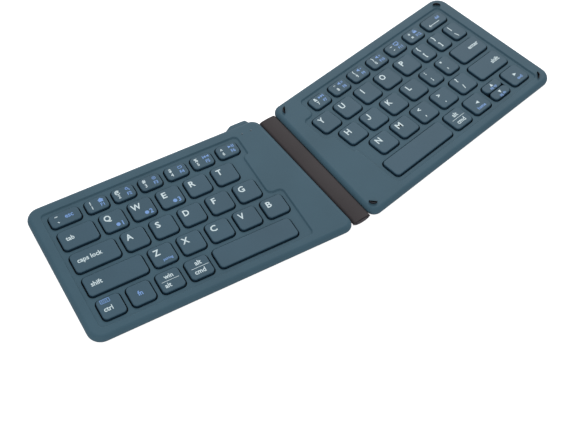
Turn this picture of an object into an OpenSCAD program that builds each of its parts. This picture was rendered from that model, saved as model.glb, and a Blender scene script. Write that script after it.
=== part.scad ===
// Folding pocket keyboard, lying flat open.
// Two slim key housings, each turned a few degrees so that the rows form a
// shallow V, are joined by a double-pivot spine. The right half folds over
// onto the left one, key side to key side.
// Millimetres, +Z up. The origin is on the table under the middle of the
// open keyboard. The hinge runs along Y at X = 0 and the user sits at -Y.
// Inside a half, u runs along its key rows away from the hinge and v runs to
// the back; the left half is drawn as a right-hand one and then mirrored.

/* [Housings] */
// Distance from the hinge line to a half's outer side wall, along the rows
half_reach = 165; // [163:0.5:172]
// Depth of a half across its key rows
half_depth = 100; // [98:0.5:108]
// Thickness of a half; its sides are full half-rounds of this thickness
case_t = 5.8; // [5.6:0.1:6.4]
// Angle by which each half is turned about the hinge line
half_yaw = 7; // [4:0.5:9]
// Plan radius of the outer corners
outer_corner_r = 8.5; // [7:0.5:12]
// Plan radius of the corners beside the hinge
hinge_corner_r = 6.1; // [6:0.1:8]
// Side wall, from the outermost line of the half-round to the cavity
side_wall = 3.2; // [3:0.1:3.6]
// Floor of the bottom cover
floor_t = 1; // [0.8:0.1:1.2]
// Height of the parting line above the underside of the housing
parting_h = 1.9; // [1.7:0.1:2]
// Height of the rubber feet
foot_h = 0.8; // [0.5:0.1:1.5]

/* [Key deck] */
// Thickness of the deck in which the key openings are cut
deck_t = 0.7; // [0.7:0.1:1.2]
// Depth of the well round the keys
well_depth = 0.9; // [0.4:0.1:1]
// Flat of the well left round the key openings
well_margin = 2.7; // [2:0.1:3]
// Corner radius of the well
well_r = 3; // [1.5:0.1:4]
// Distance from the front wall to the bottom row of key openings
front_margin = 9.15; // [8.5:0.05:10]
// Distance from the outer side wall to the key openings, left half
side_margin_left = 10.2; // [9.5:0.1:11]
// Distance from the outer side wall to the key openings, right half
side_margin_right = 11.2; // [10:0.1:11.4]

/* [Key layout] */
// Distance from the outer side wall to the outer edge of the Q opening
q_margin = 35.8; // [35:0.1:36.5]
// Distance from the hinge line to the first opening of the left half's lowest letter row
first_key_left = 27.25; // [26:0.05:28]
// Distance from the back wall to the number keys' openings
back_margin = 9.95; // [9.5:0.05:10.5]
// Bar of deck left between two rows
row_web = 2.4; // [2:0.1:3]
// Bar of deck left between a letter key and the key beside it
key_web = 2.4; // [2.1:0.1:2.6]
// How much closer together the number keys stand than the letter keys
number_closer = 0.92; // [0.8:0.02:1.1]
// Bar of deck left between two number keys
number_web = 2.18; // [2:0.02:2.6]
// Depth of a number key's opening
number_d = 10.9; // [9.5:0.1:11.5]
// Spacing of the narrow punctuation keys
narrow_pitch = 14.6; // [14.5:0.05:14.8]
// Width of a narrow key's opening
narrow_w = 12.3; // [11.5:0.1:12.5]
// Shift of the home row against the row above it
home_shift = 5.53; // [4:0.01:7]
// Shift of the lowest letter row against the top letter row
lower_shift = 14.35; // [12:0.05:16]
// Distance from the hinge line to the inner edge of the Y opening
y_inner = 22.5; // [21.5:0.1:23]
// Overhang of the 1 opening beyond the Q opening
number_out_left = 3.37; // [2:0.01:4]
// Start of the 7 opening beyond the start of the Y opening
number_in_right = 9.18; // [8:0.02:10]
// How much closer together the four small keys at the left of the bottom row stand than the letter keys
small_closer = 0.16; // [0:0.02:0.3]
// Bar of deck left between two of those small keys
small_web = 2.44; // [2.2:0.02:3]
// Step in of the ctrl opening from the keys above it
small_in = 0.6; // [0:0.1:1.5]
// Distance from the hinge line to the left space bar's opening
left_space_in = 31.48; // [29.6:0.02:34]
// Start of the right space bar beyond the start of the Y opening
right_space_in = 8.24; // [7:0.02:9]
// How much narrower the right space bar's opening is than three letter keys' spacing
right_space_less = 3; // [2.6:0.1:4]

/* [Keys] */
// Gap between a key cap and its opening
key_gap = 0.85; // [0.4:0.05:1]
// Plan radius of a key opening's corners
key_hole_r = 3.2; // [2:0.1:3.6]
// Round along the top edges of a key cap
cap_edge_r = 0.6; // [0.3:0.1:0.8]
// Height of the key caps above the rim of the housing
cap_proud = 0.5; // [0.3:0.05:0.6]
// Key travel
key_travel = 1.2; // [0.8:0.1:1.4]
// Lip of a key cap's flange beyond its opening, under the deck
flange_lip = 0.3; // [0.2:0.05:0.5]
// Thickness of that flange
flange_t = 0.55; // [0.4:0.05:0.7]
// Radius of the stem under a key cap
stem_r = 2.5; // [1.5:0.1:3]
// Height of the rubber dome under a stem
dome_h = 0.3; // [0.2:0.05:0.4]
// Gap between a pressed key's stem and its flattened dome
dome_gap = 0.05; // [0.02:0.01:0.1]
// Thickness of the rubber dome sheet
sheet_t = 0.3; // [0.2:0.05:0.4]
// Thickness of the steel plate under the keys
plate_t = 0.3; // [0.2:0.05:0.4]
// Set-back of the plate and the sheet from the edge of the well
plate_in = 1.5; // [1.4:0.1:2]

/* [Hinge] */
// Height of the hinge pins above the underside of the housings
pin_h = 2.4; // [2.2:0.1:2.6]
// Radius of a hinge pin
pin_r = 0.6; // [0.5:0.05:0.7]
// Radial clearance of a pin in the leaf knuckles
pin_clear = 0.05; // [0.02:0.01:0.08]
// Radius of the knuckles
knuckle_r = 1.25; // [1.15:0.05:1.35]
// Clearance round a knuckle in the spine
knuckle_gap = 0.15; // [0.1:0.05:0.25]
// Clearance between the spine and the walls of the halves
wall_gap = 0.75; // [0.7:0.05:1]
// Gap left between the two rims when the keyboard is shut
fold_gap = 1.4; // [1.2:0.1:1.8]
// Length of the spine
spine_len = 94.5; // [90:0.5:96]
// Crown of the spine above the pins
spine_crown = 2.15; // [2:0.05:2.3]
// Belly of the spine below the pins
spine_belly = 2.1; // [1.8:0.05:2.2]
// Joint between the spine and its cover strip, above the pins
strip_seat = 0.9; // [0.8:0.05:1]
// Distance of the knuckles from the middle of the hinge
knuckle_y = 34; // [28:0.5:38]
// Length of a knuckle
knuckle_len = 8; // [6:0.5:12]
// Top of a leaf below the pin axis
leaf_drop = 0.2; // [0.1:0.05:0.3]
// Distance of a leaf from the cavity wall beside it
leaf_in = 0.2; // [0.1:0.05:0.4]
// Width of a leaf inside its half
leaf_w = 3; // [2:0.1:3.2]
// Length of a leaf
leaf_len = 80; // [74:0.5:82]

/* [Electronics] */
// Distance from the hinge line to the middle of the charging port
port_u = 23.5; // [23:0.1:24.5]
// Width of the port's shell
port_w = 8.9; // [8.7:0.05:9]
// Height of the port's shell
port_t = 3.1; // [3:0.05:3.2]
// Wall of the port's shell
port_wall = 0.3; // [0.2:0.05:0.35]
// Length of the port's shell
port_len = 8; // [7:0.1:8.2]
// How far the port's boss stands out behind the left half
boss_out = 2.9; // [2:0.1:3.2]
// Height of the port's boss above the underside of the housing
boss_h = 3.9; // [3.8:0.05:4.4]
// Width of the soft edge along the top of that boss
boss_edge = 0.7; // [0.4:0.1:0.9]
// Thickness of the main board
board_t = 0.6; // [0.5:0.1:0.8]
// Width of the main board
board_w = 12.9; // [11:0.1:13]
// Length of the main board
board_len = 34; // [25:0.5:35]
// Radius of a status light guide
led_r = 0.5; // [0.3:0.05:0.7]
// Spacing of the two status light guides
led_pitch = 6; // [4:0.25:8]
// Width of the battery
battery_w = 13; // [10:0.5:13]
// Length of the battery
battery_len = 45; // [35:0.5:45]
// Thickness of the battery
battery_t = 2.6; // [2:0.1:2.9]
// Clearance between the battery and the plate and the screw post beside it
battery_gap = 0.3; // [0.2:0.05:0.4]
// Distance of the battery's back end from the front of the home row
battery_back = 9.85; // [8:0.05:10]

/* [Trim] */
// Outer radius of a corner bumper's crescent
bumper_r = 3; // [2.5:0.1:3.2]
// Width of the crescent in its middle
bumper_w = 1.2; // [0.8:0.1:1.4]
// Gap between the bumpers and the other half's rim when shut
bumper_gap = 0.1; // [0.05:0.05:0.3]
// Depth to which the bumpers are let into the rim
bumper_seat = 0.6; // [0.4:0.1:0.8]
// Distance of the bumpers from the walls beside them
bumper_in = 6.6; // [6.2:0.1:7]
// Distance of the inner feet from the hinge line
foot_in = 50; // [46:1:60]
// Distance of the outer feet from the outer side wall
foot_out = 26; // [22:1:32]
// Distance of the feet from the front and back walls
foot_margin = 11; // [9:0.5:13]
// Length of a foot
foot_len = 16; // [8:1:30]
// Width of a foot
foot_w = 5; // [3:0.5:6]
// Radius of the posts that the screws hold
post_r = 1.9; // [1.5:0.1:2]
// Distance of the posts from the front and back walls
post_in = 5.6; // [5.4:0.1:5.7]
// Distance of the posts from the outer side wall
side_post_in = 6.6; // [6.2:0.1:6.8]
// Radius of a screw's shank
screw_r = 0.6; // [0.5:0.05:0.8]
// Radius of a screw's head
screw_head_r = 1.25; // [1:0.05:1.5]
// Thickness of a screw's head
screw_head_t = 0.5; // [0.4:0.05:0.6]

/* [Hidden] */
$fn = 64;

body_blue = "#4f6676";
key_blue = "#4b6474";
cover_brown = "#4a4448";
strip_brown = "#484344";
rubber_black = "#1c1c22";
steel = "#b4b8bc";
board_green = "#1f5a3c";

// heights above the table
z_base = foot_h;
z_floor = z_base + floor_t;
z_part = z_base + parting_h;
z_rim = z_base + case_t;
z_well = z_rim - well_depth;
z_deck = z_well - deck_t;          // underside of the deck
z_plate = z_floor + plate_t;
z_sheet = z_plate + sheet_t;
z_dome = z_sheet + dome_h;
z_cap = z_rim + cap_proud;
z_flange = z_deck - flange_t;
z_stem = z_dome + key_travel + dome_gap;
z_pin = z_base + pin_h;

// plan of a half
side_r = case_t / 2;
nose_r = side_r + 0.1;             // a little over half the thickness leaves a fine edge at the rim
corner_bulge = 0.04;               // the corners stand this much proud, so the sides run into them cleanly
bar_lap = 0.3;
pin_x = fold_gap / 2 + z_rim - z_pin;            // so that the rims meet with fold_gap
wall_x = pin_x + knuckle_r + wall_gap;           // hinge-side wall, along world Y
half_v = half_depth / 2;
tilt = [sin(half_yaw), cos(half_yaw)];
n_out = [1, 0];
n_back = [0, 1];
n_hinge = [-tilt[1], tilt[0]];
n_front = [0, -1];
function hinge_u(v, x) = (x + v * tilt[0]) / tilt[1];   // u of world x at depth v
hc_v = half_v - hinge_corner_r;
oc_v = half_v - outer_corner_r;
oc_u = half_reach - outer_corner_r;
// centre, radius, first and last outward direction of each corner
corners = [
  [[oc_u, oc_v], outer_corner_r, n_out, n_back],
  [[hinge_u(hc_v, wall_x + hinge_corner_r), hc_v], hinge_corner_r, n_back, n_hinge],
  [[hinge_u(-hc_v, wall_x + hinge_corner_r), -hc_v], hinge_corner_r, n_hinge, n_front],
  [[oc_u, -oc_v], outer_corner_r, n_front, n_out]];
// the open keyboard's plan is centred on the origin
y_back = oc_u * tilt[0] + oc_v * tilt[1] + outer_corner_r;
y_front = corners[2][0][0] * tilt[0] - hc_v * tilt[1] - hinge_corner_r;
y_mid = (y_back + y_front) / 2;

// rows of key openings: the keys fill what the margins leave of a half
edge_left = half_reach - side_margin_left;
edge_right = half_reach - side_margin_right;
q_outer = half_reach - q_margin;
letter_pitch = (q_outer - lower_shift - first_key_left + key_web) / 5;
key_w = letter_pitch - key_web;
row_pitch = (half_depth - front_margin - back_margin - number_d) / 4;
key_d = row_pitch - row_web;
number_pitch = letter_pitch - number_closer;
number_w = number_pitch - number_web;
small_pitch = letter_pitch - small_closer;
small_w = small_pitch - small_web;
right_space_w = 3 * letter_pitch - right_space_less;
function row_v(row) = -half_v + front_margin + row * row_pitch;
number_v = row_v(3) + row_pitch;
function shift_of(row) = row == 2 ? home_shift : row == 1 ? lower_shift : 0;
function cell(u0, u1, row) = [u0, row_v(row), u1, row_v(row) + key_d];
function number_cell(u0, u1) = [u0, number_v, u1, number_v + number_d];
// left half, counted from its outer end
function left_letter(row, i) =
  let (u1 = q_outer - shift_of(row) - i * letter_pitch) cell(u1 - key_w, u1, row);
function left_wide(row) = cell(q_outer - shift_of(row) + key_web, edge_left, row);
function left_number(i) =
  let (u1 = q_outer + number_out_left - i * number_pitch) number_cell(u1 - number_w, u1);
esc_cell = number_cell(left_number(0)[2] + key_web, edge_left);
function left_small(i) = let (u1 = edge_left - small_in - i * small_pitch) cell(u1 - small_w, u1, 0);
left_space_cell = cell(left_space_in, left_small(3)[0] - key_web, 0);
// right half, counted from its inner end
function right_letter(row, i) =
  let (u0 = y_inner + shift_of(row) + i * letter_pitch) cell(u0, u0 + key_w, row);
function right_number(i) =
  let (u0 = y_inner + number_in_right + i * number_pitch) number_cell(u0, u0 + number_w);
backspace_cell = number_cell(right_number(5)[2] + key_web, edge_right);
function narrow_after(c, i) = [c[2] + narrow_pitch - narrow_w + i * narrow_pitch, c[1],
                               c[2] + narrow_pitch - narrow_w + i * narrow_pitch + narrow_w, c[3]];
function wide_after(c, gap) = [c[2] + gap, c[1], edge_right, c[3]];
semicolon_cell = let (c = right_letter(2, 4)) [c[0], c[1], c[0] + narrow_w, c[3]];
right_space_cell = cell(y_inner + right_space_in, y_inner + right_space_in + right_space_w, 0);
function right_small(i) =
  let (u0 = right_space_cell[2] + key_web + i * letter_pitch) cell(u0, u0 + key_w, 0);
right_arrow_cell = wide_after(right_small(2), key_web);
narrow_web = narrow_pitch - narrow_w;

left_number_cells = concat([esc_cell], [for (i = [0:5]) left_number(i)]);
left_bottom_cells = [for (i = [0:3]) left_small(i)];
right_number_cells = concat([for (i = [0:5]) right_number(i)], [backspace_cell]);
punctuation_cells = [
  narrow_after(right_letter(3, 4), 0), narrow_after(right_letter(3, 4), 1),
  wide_after(narrow_after(right_letter(3, 4), 1), narrow_web),
  semicolon_cell, narrow_after(semicolon_cell, 0),
  right_letter(1, 2), right_letter(1, 3), right_letter(1, 4)];
enter_cell = wide_after(narrow_after(semicolon_cell, 0), key_web);
right_shift_cell = wide_after(right_letter(1, 4), key_web);
right_bottom_cells = [right_small(0), right_small(1), right_arrow_cell];
left_cells = concat(left_number_cells, left_bottom_cells, [left_space_cell],
  [for (row = [1:3]) left_wide(row)], [for (row = [1:3]) for (i = [0:4]) left_letter(row, i)]);
right_cells = concat(right_number_cells, punctuation_cells, right_bottom_cells,
  [right_small(2), enter_cell, right_shift_cell, right_space_cell],
  [for (i = [0:4]) right_letter(3, i)], [for (i = [0:3]) right_letter(2, i)],
  [for (i = [0:1]) right_letter(1, i)]);

// bands of the well: each is as long as the rows in it need
function band(u0, v0, v1, edge) = [u0, v0, edge, v1];
left_bands = [
  band(left_number(5)[0], number_v, number_v + number_d, edge_left),
  band(left_letter(2, 4)[0], row_v(2), row_v(3) + key_d, edge_left),
  band(left_letter(1, 4)[0], row_v(0), row_v(1) + key_d, edge_left)];
right_bands = [
  band(right_number(0)[0], number_v, number_v + number_d, edge_right),
  band(right_letter(3, 0)[0], row_v(3), row_v(3) + key_d, edge_right),
  band(right_letter(2, 0)[0], row_v(2), row_v(2) + key_d, edge_right),
  band(right_space_cell[0], row_v(0), row_v(1) + key_d, edge_right)];

// screw posts
post_v = half_v - post_in;
side_post_u = half_reach - side_post_in;
left_posts = [[side_post_u, 31], [side_post_u, -31], [86, -post_v], [hinge_u(-post_v, 19), -post_v],
              [38, post_v], [100, post_v]];
right_posts = [[side_post_u, 31], [side_post_u, -31], [86, -post_v], [hinge_u(-post_v, 19), -post_v],
               [22, post_v - 4.5], [100, post_v]];

// spine section: arcs tangent to both knuckle circles
function arc_r(d) = (pin_x * pin_x / (d - knuckle_r) + d + knuckle_r) / 2;
crown_r = arc_r(spine_crown);
belly_r = arc_r(spine_belly);
leaf_top = z_pin - leaf_drop;
cav_x = wall_x + side_wall;          // world x of the cavity wall beside the hinge
leaf_x0 = cav_x + leaf_in;
leaf_x1 = leaf_x0 + leaf_w;

// ---------- places ----------
module on_table() translate([0, -y_mid, 0]) children();
module right_place() on_table() rotate([0, 0, half_yaw]) children();
module left_place() on_table() mirror([1, 0, 0]) rotate([0, 0, half_yaw]) children();
module along_hinge() rotate([0, 0, -half_yaw]) children();   // world axes inside a half

// ---------- 2-D shapes ----------
module outline(inset) {
  polygon([for (k = corners) each [k[0] + (k[1] - inset) * k[2], k[0] + (k[1] - inset) * k[3]]]);
  for (k = corners) translate(k[0]) circle(r = k[1] - inset + corner_bulge);
}

module round_rect(c, grow, r) {
  a = [c[0] - grow, c[1] - grow];
  b = [c[2] + grow, c[3] + grow];
  polygon([[a[0] + r, a[1]], [b[0] - r, a[1]], [b[0], a[1] + r], [b[0], b[1] - r],
           [b[0] - r, b[1]], [a[0] + r, b[1]], [a[0], b[1] - r], [a[0], a[1] + r]]);
  for (u = [a[0] + r, b[0] - r], v = [a[1] + r, b[1] - r]) translate([u, v]) circle(r = r, $fn = 40);
}

// upright section with its two upper corners rounded
module arched(w, h, r) {
  polygon([[0, 0], [w, 0], [w, h - r], [w - r, h], [r, h], [0, h - r]]);
  for (u = [r, w - r]) translate([u, h - r]) circle(r = r, $fn = 32);
}

// ---------- housings ----------
// section through a side: a flat-topped bar, depth deep, that ends in a round
// nose at x = reach
module side_section(reach, depth, z0, z1) intersection() {
  union() {
    translate([reach - depth, -side_r]) square([depth - nose_r, case_t]);
    translate([reach - nose_r, 0]) circle(r = nose_r);
  }
  translate([reach - depth, z0 - z_base - side_r]) square([depth + 1, z1 - z0]);
}

// the middle of the half, with a turned disc in each corner
module core_and_corners(z0, z1) {
  translate([0, 0, z0]) linear_extrude(z1 - z0)
    polygon([for (k = corners) each [k[0] + (k[1] - nose_r) * k[2], k[0] + (k[1] - nose_r) * k[3]]]);
  for (k = corners) translate([k[0][0], k[0][1], z_base + side_r])
    rotate_extrude() side_section(k[1] + corner_bulge, k[1] + corner_bulge, z0, z1);
}

// the half between two heights: its straight sides join last
module half_slab(z0 = z_base, z1 = z_rim) union() {
  union() core_and_corners(z0, z1);
  for (i = [0:3])
    let (k = corners[i], n = corners[(i + 1) % 4],
         b = n[0] + n[1] * k[3], len = norm(b - k[0] - k[1] * k[3]))
    translate([b[0], b[1], z_base + side_r]) rotate([0, 0, atan2(k[3][1], k[3][0])]) rotate([90, 0, 0])
      translate([0, 0, -bar_lap]) linear_extrude(len + 2 * bar_lap) side_section(0, nose_r + 1, z0, z1);
}

module well(bands)
  for (b = bands) translate([0, 0, z_well]) linear_extrude(well_depth + 1) round_rect(b, well_margin, well_r);

module key_openings(cells)
  for (c = cells) translate([0, 0, z_deck - 0.5]) linear_extrude(deck_t + 1) round_rect(c, 0, key_hole_r);

module leaf_slots(z0, z1)
  along_hinge() for (s = [-1, 1])
    translate([wall_x - 1, s * knuckle_y - knuckle_len / 2 - knuckle_gap, z0])
      cube([side_wall + 2, knuckle_len + 2 * knuckle_gap, z1 - z0]);

module leaf_clamps()
  along_hinge() for (s = [-1, 1])
    translate([leaf_x0 + 0.4, s * 20 - 4, leaf_top]) cube([leaf_w - 0.8, 8, z_deck - leaf_top + 0.3]);

module top_shell(bands, cells, posts) {
  difference() {
    half_slab(z_part, z_rim);
    translate([0, 0, z_part - 1]) linear_extrude(z_deck - z_part + 1) outline(side_wall);
    well(bands);
    key_openings(cells);
    leaf_slots(z_part - 1, leaf_top + knuckle_gap);
    children();
  }
  for (p = posts) translate([p[0], p[1], 0]) difference() {
    translate([0, 0, z_floor]) cylinder(r = post_r, h = z_deck - z_floor);
    translate([0, 0, z_floor - 1]) cylinder(r = screw_r, h = z_deck - z_floor);
  }
  leaf_clamps();
}

module bottom_tray(posts) {
  difference() {
    half_slab(z_base, z_part);
    translate([0, 0, z_floor]) linear_extrude(case_t) outline(side_wall);
    leaf_slots(z_floor, z_part + 1);
    for (p = posts) translate([p[0], p[1], 0]) {
      translate([0, 0, z_base - 1]) cylinder(r = screw_r, h = floor_t + 2);
      translate([0, 0, z_base - 1]) cylinder(r = screw_head_r, h = 1 + screw_head_t);
    }
    children();
  }
}

// the port's shell, lying along v with its mouth at v = 0
module port_form(w, t, len) {
  for (s = [-1, 1]) translate([s * (w - t) / 2, 0, 0]) rotate([90, 0, 0]) cylinder(r = t / 2, h = len);
  translate([-(w - t) / 2, -len, -t / 2]) cube([w - t, len, t]);
}
port_z = z_base + boss_h / 2 + 0.15;
port_mouth = half_v + boss_out - 0.3;
module port_cut() {
  translate([port_u, half_v + boss_out + 1, port_z]) port_form(port_w, port_t, port_len + 1.3);
}

module port_boss_plan() {
  w0 = port_w / 2 + 5.2;
  polygon([[port_u - port_w / 2 - 2.1, half_v - 2.5], [port_u - port_w / 2 - 2.1, half_v],
           [port_u - port_w / 2 - 0.85, half_v + boss_out], [port_u + port_w / 2 + 0.85, half_v + boss_out],
           [port_u + w0, half_v], [port_u + w0, half_v - 2.5]]);
}

module port_boss() {
  difference() {
    translate([0, 0, z_base + 0.1]) linear_extrude(boss_h - 0.1) port_boss_plan();
    // the upper part stands clear of the top case's round side
    half_slab(z_part, z_rim);
    // soft upper edge
    translate([port_u - port_w, half_v + boss_out, z_base + boss_h]) rotate([45, 0, 0])
      translate([0, -boss_edge / 2, -boss_out / 2]) cube([2 * port_w, boss_out, boss_out]);
    port_cut();
  }
}

board_u0 = hinge_u(port_mouth - port_len, leaf_x1 + 0.5);
board_v1 = port_mouth - port_len;
board_z = z_floor + 0.7;
led_v = half_v - 7.9;
led_u = board_u0 + 1.2;
module led_places(r, z0, z1)
  for (i = [0:1]) translate([led_u + i * led_pitch, led_v, z0]) cylinder(r = r, h = z1 - z0, $fn = 32);

module left_top_case() color(body_blue) left_place() difference() {
  top_shell(left_bands, left_cells, left_posts) {
    port_cut();
    led_places(led_r, z_deck - 1, z_rim + 1);
  }
}

module left_bottom_cover() color(cover_brown) left_place() {
  bottom_tray(left_posts) port_cut();
  port_boss();
  for (q = [[board_u0 + 2.5, board_v1 - board_len + 3], [board_u0 + board_w - 2.5, board_v1 - board_len + 3],
            [board_u0 + board_w / 2, board_v1 - 12]])
    translate([q[0], q[1], z_floor - 0.3]) cylinder(r = 1.2, h = board_z - z_floor + 0.3);
}

module right_top_case() color(body_blue) right_place()
  top_shell(right_bands, right_cells, right_posts)
    translate([0, 0, z_rim - bumper_seat]) crescents(bumper_seat + 1);

module right_bottom_cover() color(cover_brown) right_place() bottom_tray(right_posts);

// ---------- under the keys ----------
module backplate(bands)
  translate([0, 0, z_floor]) linear_extrude(plate_t)
    for (b = bands) round_rect(b, well_margin - plate_in, well_r - 1);

module dome_sheet(bands, cells) {
  translate([0, 0, z_plate]) linear_extrude(sheet_t)
    for (b = bands) round_rect(b, well_margin - plate_in, well_r - 1);
  for (c = cells) translate([(c[0] + c[2]) / 2, (c[1] + c[3]) / 2, z_sheet])
    cylinder(r1 = stem_r + 0.4, r2 = stem_r - 0.6, h = dome_h);
}

module left_backplate() color(steel) left_place() backplate(left_bands);
module right_backplate() color(steel) right_place() backplate(right_bands);
module left_dome_sheet() color("#1b2228") left_place() dome_sheet(left_bands, left_cells);
module right_dome_sheet() color("#1b2228") right_place() dome_sheet(right_bands, right_cells);

// ---------- keys ----------
// half = 0 for a whole key, 1 or -1 for the upper or lower one of a stacked pair
module keycap(c, half = 0) {
  mid = (c[1] + c[3]) / 2;
  hole = half == 0 ? c : half > 0 ? [c[0], mid, c[2], c[3]] : [c[0], c[1], c[2], mid];
  w = hole[2] - hole[0] - 2 * key_gap;
  d = hole[3] - hole[1] - 2 * key_gap;
  h = z_cap - z_flange;
  translate([hole[0] + key_gap, hole[1] + key_gap, z_flange]) intersection() {
    linear_extrude(h) round_rect([0, 0, w, d], 0, min(key_hole_r - key_gap, d / 2 - 0.4));
    translate([0, d, 0]) rotate([90, 0, 0]) linear_extrude(d) arched(w, h, cap_edge_r);
    rotate([90, 0, 90]) linear_extrude(w) arched(d, h, cap_edge_r);
  }
  lo = half > 0 ? key_gap / 2 - flange_lip : 0;
  hi = half < 0 ? key_gap / 2 - flange_lip : 0;
  translate([0, 0, z_flange]) linear_extrude(flange_t)
    round_rect([hole[0], hole[1] + (half > 0 ? flange_lip + key_gap / 2 : 0), hole[2],
                hole[3] - (half < 0 ? flange_lip + key_gap / 2 : 0)], flange_lip,
               half == 0 ? key_hole_r : 1.5);
  n = w > 30 ? 1 : 0;
  for (i = [-n:n]) translate([(hole[0] + hole[2]) / 2 + i * w / 3, (hole[1] + hole[3]) / 2, z_stem])
    cylinder(r = min(stem_r, d / 2 - 0.3), h = z_flange - z_stem + 0.1);
}

module left_keys(cells) color(key_blue) left_place() for (c = cells) keycap(c);
module right_keys(cells) color(key_blue) right_place() for (c = cells) keycap(c);

module key_q() left_keys([left_letter(3, 0)]);
module key_w_() left_keys([left_letter(3, 1)]);
module key_e() left_keys([left_letter(3, 2)]);
module key_r() left_keys([left_letter(3, 3)]);
module key_t() left_keys([left_letter(3, 4)]);
module key_a() left_keys([left_letter(2, 0)]);
module key_s() left_keys([left_letter(2, 1)]);
module key_d_() left_keys([left_letter(2, 2)]);
module key_f() left_keys([left_letter(2, 3)]);
module key_g() left_keys([left_letter(2, 4)]);
module key_z() left_keys([left_letter(1, 0)]);
module key_x() left_keys([left_letter(1, 1)]);
module key_c() left_keys([left_letter(1, 2)]);
module key_v() left_keys([left_letter(1, 3)]);
module key_b() left_keys([left_letter(1, 4)]);
module key_y() right_keys([right_letter(3, 0)]);
module key_u() right_keys([right_letter(3, 1)]);
module key_i() right_keys([right_letter(3, 2)]);
module key_o() right_keys([right_letter(3, 3)]);
module key_p() right_keys([right_letter(3, 4)]);
module key_h() right_keys([right_letter(2, 0)]);
module key_j() right_keys([right_letter(2, 1)]);
module key_k() right_keys([right_letter(2, 2)]);
module key_l() right_keys([right_letter(2, 3)]);
module key_n() right_keys([right_letter(1, 0)]);
module key_m() right_keys([right_letter(1, 1)]);
module tab_key() left_keys([left_wide(3)]);
module caps_lock_key() left_keys([left_wide(2)]);
module left_shift_key() left_keys([left_wide(1)]);
module right_shift_key() right_keys([right_shift_cell]);
module enter_key() right_keys([enter_cell]);
module left_space_bar() left_keys([left_space_cell]);
module right_space_bar() right_keys([right_space_cell]);
module left_number_keys() left_keys(left_number_cells);
module right_number_keys() right_keys(right_number_cells);
module punctuation_keys() right_keys(punctuation_cells);
module left_bottom_keys() left_keys(left_bottom_cells);
module right_bottom_keys() {
  right_keys(right_bottom_cells);
  color(key_blue) right_place() for (s = [-1, 1]) keycap(right_small(2), s);
}

// ---------- hinge ----------
// section of the spine in x and z, round the level of the pins
module spine_section() {
  for (s = [-1, 1]) translate([s * pin_x, 0]) circle(r = knuckle_r);
  tx = pin_x * crown_r / (crown_r - knuckle_r);
  intersection() {
    translate([0, spine_crown - crown_r]) circle(r = crown_r, $fn = 128);
    translate([0, belly_r - spine_belly]) circle(r = belly_r, $fn = 128);
    translate([-tx, -4]) square([2 * tx, 8]);
  }
}

module spine_bar() translate([0, spine_len / 2, z_pin]) rotate([90, 0, 0]) linear_extrude(spine_len) spine_section();

// room for a leaf knuckle and for its arm through the whole fold
module knuckle_room()
  for (sx = [-1, 1], sy = [-1, 1]) translate([sx * pin_x, sy * knuckle_y, z_pin]) {
    rotate([90, 0, 0]) cylinder(r = knuckle_r + knuckle_gap, h = knuckle_len + 2 * knuckle_gap, center = true);
    translate([sx > 0 ? -0.5 : -3.5, -knuckle_len / 2 - knuckle_gap, 0]) cube([4, knuckle_len + 2 * knuckle_gap, 4]);
    translate([sx > 0 ? 0 : -3, -knuckle_len / 2 - knuckle_gap, -3]) cube([3, knuckle_len + 2 * knuckle_gap, 4]);
  }

module pin_bores(r)
  for (s = [-1, 1]) translate([s * pin_x, 0, z_pin]) rotate([90, 0, 0]) cylinder(r = r, h = spine_len + 2, center = true);

cable_room = [5, 12, 0.5];
module hinge_spine() color(strip_brown) on_table() difference() {
  spine_bar();
  translate([-10, -spine_len, z_pin + strip_seat]) cube([20, 2 * spine_len, 5]);
  knuckle_room();
  pin_bores(pin_r);
  translate([-cable_room[0] / 2, -cable_room[1] / 2, z_pin + strip_seat - cable_room[2]]) cube([cable_room[0], cable_room[1], 2]);
}

module hinge_strip() color(strip_brown) on_table() difference() {
  spine_bar();
  translate([-10, -spine_len, z_pin + strip_seat - 5]) cube([20, 2 * spine_len, 5]);
  knuckle_room();
}

module hinge_pins() color(steel) on_table()
  for (s = [-1, 1]) translate([s * pin_x, 0, z_pin]) rotate([90, 0, 0]) cylinder(r = pin_r, h = spine_len - 1, center = true);

module flex_cable() color("#b8742c") on_table()
  translate([-cable_room[0] / 2 + 0.1, -cable_room[1] / 2 + 0.1, z_pin + strip_seat - cable_room[2]])
    cube([cable_room[0] - 0.2, cable_room[1] - 0.2, 0.3]);

// a leaf of the right half, in world axes
module leaf() difference() {
  union() {
    for (s = [-1, 1]) translate([0, s * knuckle_y, 0]) {
      translate([pin_x, 0, z_pin]) rotate([90, 0, 0]) cylinder(r = knuckle_r, h = knuckle_len, center = true);
      translate([pin_x, -knuckle_len / 2, z_pin - knuckle_r]) cube([leaf_x1 - pin_x, knuckle_len, leaf_top - z_pin + knuckle_r]);
    }
    translate([leaf_x0, -leaf_len / 2, z_floor]) cube([leaf_w, leaf_len, leaf_top - z_floor]);
  }
  translate([pin_x, 0, z_pin]) rotate([90, 0, 0]) cylinder(r = pin_r + pin_clear, h = leaf_len + 10, center = true);
}
module left_hinge_leaf() color(strip_brown) on_table() mirror([1, 0, 0]) leaf();
module right_hinge_leaf() color(strip_brown) on_table() leaf();

// ---------- electronics ----------
module main_board() color(board_green) left_place() {
  translate([board_u0, board_v1 - board_len, board_z]) cube([board_w, board_len, board_t]);
  led_places(led_r, board_z + board_t - 0.1, z_rim);
}

module usb_c_port() color(steel) left_place() translate([port_u, port_mouth, port_z]) {
  difference() {
    port_form(port_w, port_t, port_len);
    translate([0, 1, 0]) port_form(port_w - 2 * port_wall, port_t - 2 * port_wall, port_len - 0.2);
  }
  translate([-3.3, -port_len + 0.5, -0.35]) cube([6.6, 5, 0.7]);
}

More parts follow.
